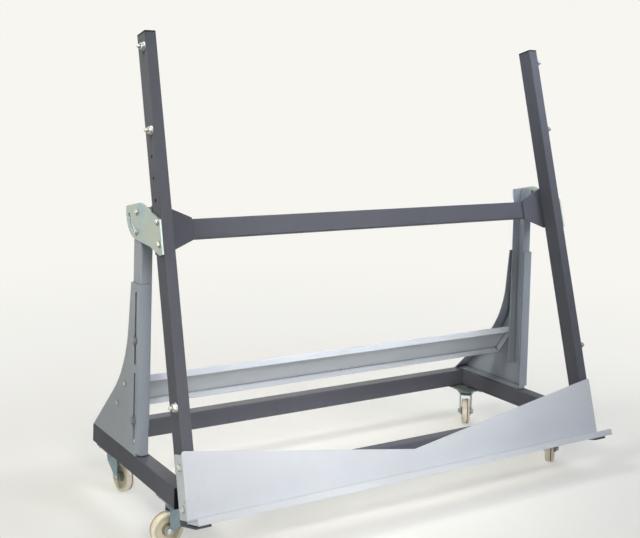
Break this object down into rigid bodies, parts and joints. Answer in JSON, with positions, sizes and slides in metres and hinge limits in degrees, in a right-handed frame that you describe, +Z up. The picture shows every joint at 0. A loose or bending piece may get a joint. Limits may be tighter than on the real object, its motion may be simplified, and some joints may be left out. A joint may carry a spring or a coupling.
{
  "type": "sheet goods cart",
  "caption": "Wheeled cart for moving board material: a leaning frame with a ledge tilts from nearly upright to level on posts that slide for height.",
  "frame": {"origin": "on the floor, in the plane of symmetry, halfway between the ledge's lip and the rear ends of the rails", "axes": "+X along the cart to the right seen from the loading side, +Y to the rear, +Z up"},
  "size_m": [1.3524, 0.6602, 1.2278],
  "materials": {
    "dark_paint": "satin dark grey powder coat",
    "grey_paint": "satin mid grey powder coat",
    "light_paint": "semi-gloss light grey powder coat",
    "zinc": "bright zinc plate",
    "fork_zinc": "bluish zinc plate",
    "black_plastic": "matte",
    "nylon": "cream nylon"
  },
  "bodies": {
    "base": {"rail_right": "dark_paint", "rail_left": "dark_paint", "rail_front_plug_right": "black_plastic", "rail_front_plug_left": "black_plastic", "rail_rear_plug_right": "black_plastic", "rail_rear_plug_left": "black_plastic", "rear_cross_tube": "dark_paint", "front_cross_tube": "dark_paint", "side_panel_right": "grey_paint", "side_panel_left": "grey_paint", "rear_beam": "grey_paint", "caster_plate_front_left": "zinc", "caster_plate_front_right": "zinc", "caster_plate_rear_left": "zinc", "caster_plate_rear_right": "zinc"},
    "lift_posts": {"post_right": "grey_paint", "post_left": "grey_paint", "post_plug_right": "black_plastic", "post_plug_left": "black_plastic", "lower_clamp_bolt_right": "zinc", "lower_clamp_bolt_left": "zinc", "upper_clamp_bolt_right": "zinc", "upper_clamp_bolt_left": "zinc", "pivot_bolt_right": "zinc", "pivot_bolt_left": "zinc", "arc_bolt_right": "zinc", "arc_bolt_left": "zinc"},
    "tilt_frame": {"arm_right": "dark_paint", "arm_left": "dark_paint", "arm_plug_right": "black_plastic", "arm_plug_left": "black_plastic", "gusset_right": "dark_paint", "gusset_left": "dark_paint", "cross_bar": "dark_paint", "tilt_plate_right": "zinc", "tilt_plate_left": "zinc", "upper_plate_bolt_right": "zinc", "upper_plate_bolt_left": "zinc", "lower_plate_bolt_right": "zinc", "lower_plate_bolt_left": "zinc", "shelf_plate": "light_paint", "lower_shelf_bolt_right": "zinc", "lower_shelf_bolt_left": "zinc", "upper_shelf_bolt_right": "zinc", "upper_shelf_bolt_left": "zinc", "foot_right": "dark_paint", "foot_left": "dark_paint"},
    "front_left_fork": {"caster_fork_front_left": "fork_zinc", "caster_axle_front_left": "zinc"},
    "front_left_wheel": {"caster_wheel_front_left": "nylon"},
    "front_right_fork": {"caster_fork_front_right": "fork_zinc", "caster_axle_front_right": "zinc"},
    "front_right_wheel": {"caster_wheel_front_right": "nylon"},
    "rear_left_fork": {"caster_fork_rear_left": "fork_zinc", "caster_axle_rear_left": "zinc"},
    "rear_left_wheel": {"caster_wheel_rear_left": "nylon"},
    "rear_right_fork": {"caster_fork_rear_right": "fork_zinc", "caster_axle_rear_right": "zinc"},
    "rear_right_wheel": {"caster_wheel_rear_right": "nylon"}
  },
  "joints": [
    {"name": "height_adjust", "type": "slide", "parent": "base", "child": "lift_posts", "axis": [0, 0, 1], "range_m": [0, 0.115]},
    {"name": "frame_tilt", "type": "hinge", "parent": "lift_posts", "child": "tilt_frame", "pos_m": [0, 0.04809, 0.777], "axis": [-1, 0, 0], "range_deg": [0, 74.8]},
    {"name": "front_left_swivel", "type": "hinge", "parent": "base", "child": "front_left_fork", "pos_m": [-0.612, -0.13418, 0.095], "axis": [0, 0, 1], "continuous": true},
    {"name": "front_left_roll", "type": "hinge", "parent": "front_left_fork", "child": "front_left_wheel", "pos_m": [-0.64392, -0.13195, 0.04], "axis": [-0.0698, -0.9976, 0], "continuous": true},
    {"name": "front_right_swivel", "type": "hinge", "parent": "base", "child": "front_right_fork", "pos_m": [0.612, -0.13418, 0.095], "axis": [0, 0, 1], "continuous": true},
    {"name": "front_right_roll", "type": "hinge", "parent": "front_right_fork", "child": "front_right_wheel", "pos_m": [0.58822, -0.15559, 0.04], "axis": [0.6691, -0.7431, 0], "continuous": true},
    {"name": "rear_left_swivel", "type": "hinge", "parent": "base", "child": "rear_left_fork", "pos_m": [-0.612, 0.26178, 0.095], "axis": [0, 0, 1], "continuous": true},
    {"name": "rear_left_roll", "type": "hinge", "parent": "rear_left_fork", "child": "rear_left_wheel", "pos_m": [-0.60755, 0.2301, 0.04], "axis": [0.9903, 0.1392, 0], "continuous": true},
    {"name": "rear_right_swivel", "type": "hinge", "parent": "base", "child": "rear_right_fork", "pos_m": [0.612, 0.26178, 0.095], "axis": [0, 0, 1], "continuous": true},
    {"name": "rear_right_roll", "type": "hinge", "parent": "rear_right_fork", "child": "rear_right_wheel", "pos_m": [0.5923, 0.23657, 0.04], "axis": [0.788, -0.6157, 0], "continuous": true}
  ]
}
